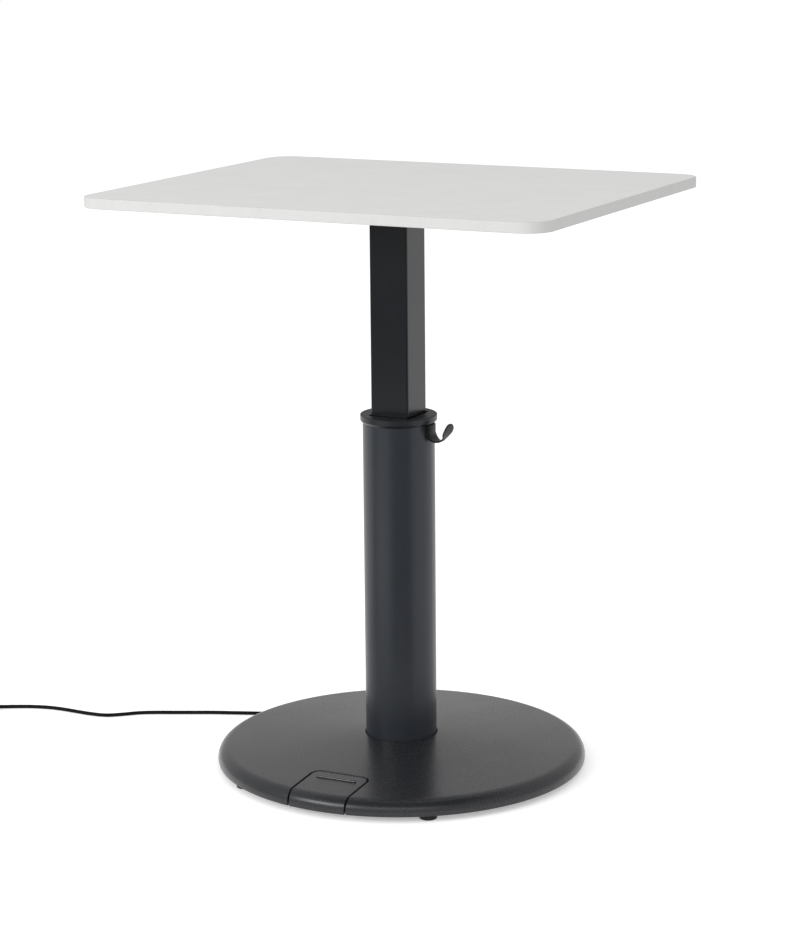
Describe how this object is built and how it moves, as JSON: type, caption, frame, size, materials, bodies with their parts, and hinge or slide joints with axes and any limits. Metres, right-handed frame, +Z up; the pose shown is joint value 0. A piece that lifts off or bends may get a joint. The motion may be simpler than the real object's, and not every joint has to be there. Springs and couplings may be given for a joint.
{
  "type": "height-adjustable pedestal desk",
  "caption": "Rectangular white desktop on a square lifting tube in a round column, with a heavy round base, a foot pedal, a bag hook and a mains cord.",
  "frame": {"origin": "on the floor under the column's axis", "axes": "+Z up along the column, +Y to the back edge of the worktop, the pedal at the front, -Y"},
  "size_m": [1.1769, 0.615, 0.902],
  "materials": {
    "white_laminate": "satin melamine laminate",
    "white_edge_band": "satin edge band",
    "brass_insert": "plain",
    "black_steel": "black powder coat",
    "zinc_screw": "zinc plated",
    "graphite_lacquer": "satin graphite lacquer",
    "base_lacquer": "fine matt graphite lacquer on cast iron",
    "black_plastic": "fine matt",
    "motor_steel": "plain",
    "bright_steel": "ground",
    "pad_plastic": "natural",
    "cord_rubber": "satin cord jacket",
    "bar_plastic": "grey insert",
    "glide_plastic": "black",
    "plug_nickel": "nickel plated"
  },
  "bodies": {
    "base": {"column_tube": "graphite_lacquer", "column_flange": "black_steel", "flange_bolts": "zinc_screw", "collar": "black_plastic", "guide_pads": "pad_plastic", "bag_hook": "graphite_lacquer", "nut_post": "motor_steel", "spindle_nut": "pad_plastic", "coiled_lead": "cord_rubber", "motor_lead": "cord_rubber", "base_casting": "base_lacquer", "bottom_cover": "black_steel", "cover_screws": "zinc_screw", "control_box": "black_plastic", "box_screws": "zinc_screw", "switch_lead": "cord_rubber", "pedal_bracket": "black_steel", "bracket_screws": "zinc_screw", "pedal_pin": "bright_steel", "pedal_springs": "bright_steel", "front_switch": "black_plastic", "rear_switch": "black_plastic", "strain_relief": "cord_rubber", "power_cord": "cord_rubber", "cord_coil": "cord_rubber", "cord_tie": "black_plastic", "cord_tail": "cord_rubber", "plug": "cord_rubber", "plug_pins": "plug_nickel"},
    "lift": {"worktop": "white_laminate", "edge_band": "white_edge_band", "top_inserts": "brass_insert", "top_plate": "black_steel", "plate_screws": "zinc_screw", "inner_tube": "graphite_lacquer", "lower_guide": "black_plastic", "motor_mount": "black_plastic", "motor": "motor_steel", "gearbox": "motor_steel", "gearbox_spacer": "black_plastic"},
    "spindle": {"spindle": "bright_steel"},
    "pedal": {"pedal": "base_lacquer", "tactile_bar": "bar_plastic"},
    "front_plunger": {"front_plunger": "pad_plastic"},
    "rear_plunger": {"rear_plunger": "pad_plastic"},
    "glide_1": {"glide_1": "glide_plastic"},
    "glide_2": {"glide_2": "glide_plastic"},
    "glide_3": {"glide_3": "glide_plastic"},
    "glide_4": {"glide_4": "glide_plastic"},
    "glide_5": {"glide_5": "glide_plastic"}
  },
  "joints": [
    {"name": "lift", "type": "slide", "parent": "base", "child": "lift", "axis": [0, 0, 1], "range_m": [-0.175, 0.225], "deforming": ["coiled_lead"]},
    {"name": "spindle_turn", "type": "hinge", "parent": "lift", "child": "spindle", "pos_m": [0, 0, 0.4], "axis": [0, 0, 1], "range_deg": [-3939.5, 5064.5]},
    {"name": "pedal_rock", "type": "hinge", "parent": "base", "child": "pedal", "pos_m": [0, -0.239, 0.0194], "axis": [1, 0, 0], "range_deg": [-3, 3], "stiffness_Nm_per_rad": 30, "deforming": ["pedal_springs"]},
    {"name": "front_plunge", "type": "slide", "parent": "base", "child": "front_plunger", "axis": [0, 0, 1], "range_m": [-0.00096, 0.00096]},
    {"name": "rear_plunge", "type": "slide", "parent": "base", "child": "rear_plunger", "axis": [0, 0, 1], "range_m": [-0.00096, 0.00096]},
    {"name": "glide_turn_1", "type": "hinge", "parent": "base", "child": "glide_1", "pos_m": [0.15257, -0.21789, 0.01], "axis": [0, 0, 1], "range_deg": [-720, 1440]},
    {"name": "glide_turn_2", "type": "hinge", "parent": "base", "child": "glide_2", "pos_m": [0.25438, 0.07777, 0.01], "axis": [0, 0, 1], "range_deg": [-720, 1440]},
    {"name": "glide_turn_3", "type": "hinge", "parent": "base", "child": "glide_3", "pos_m": [0.00464, 0.26596, 0.01], "axis": [0, 0, 1], "range_deg": [-720, 1440]},
    {"name": "glide_turn_4", "type": "hinge", "parent": "base", "child": "glide_4", "pos_m": [-0.25151, 0.0866, 0.01], "axis": [0, 0, 1], "range_deg": [-720, 1440]},
    {"name": "glide_turn_5", "type": "hinge", "parent": "base", "child": "glide_5", "pos_m": [-0.16008, -0.21244, 0.01], "axis": [0, 0, 1], "range_deg": [-720, 1440]}
  ],
  "couplings": [
    {"joint": "spindle_turn", "follows": "lift", "rad_per_m": 392.7},
    {"joint": "front_plunge", "follows": "pedal_rock", "m_per_rad": -0.018},
    {"joint": "rear_plunge", "follows": "pedal_rock", "m_per_rad": 0.018}
  ]
}
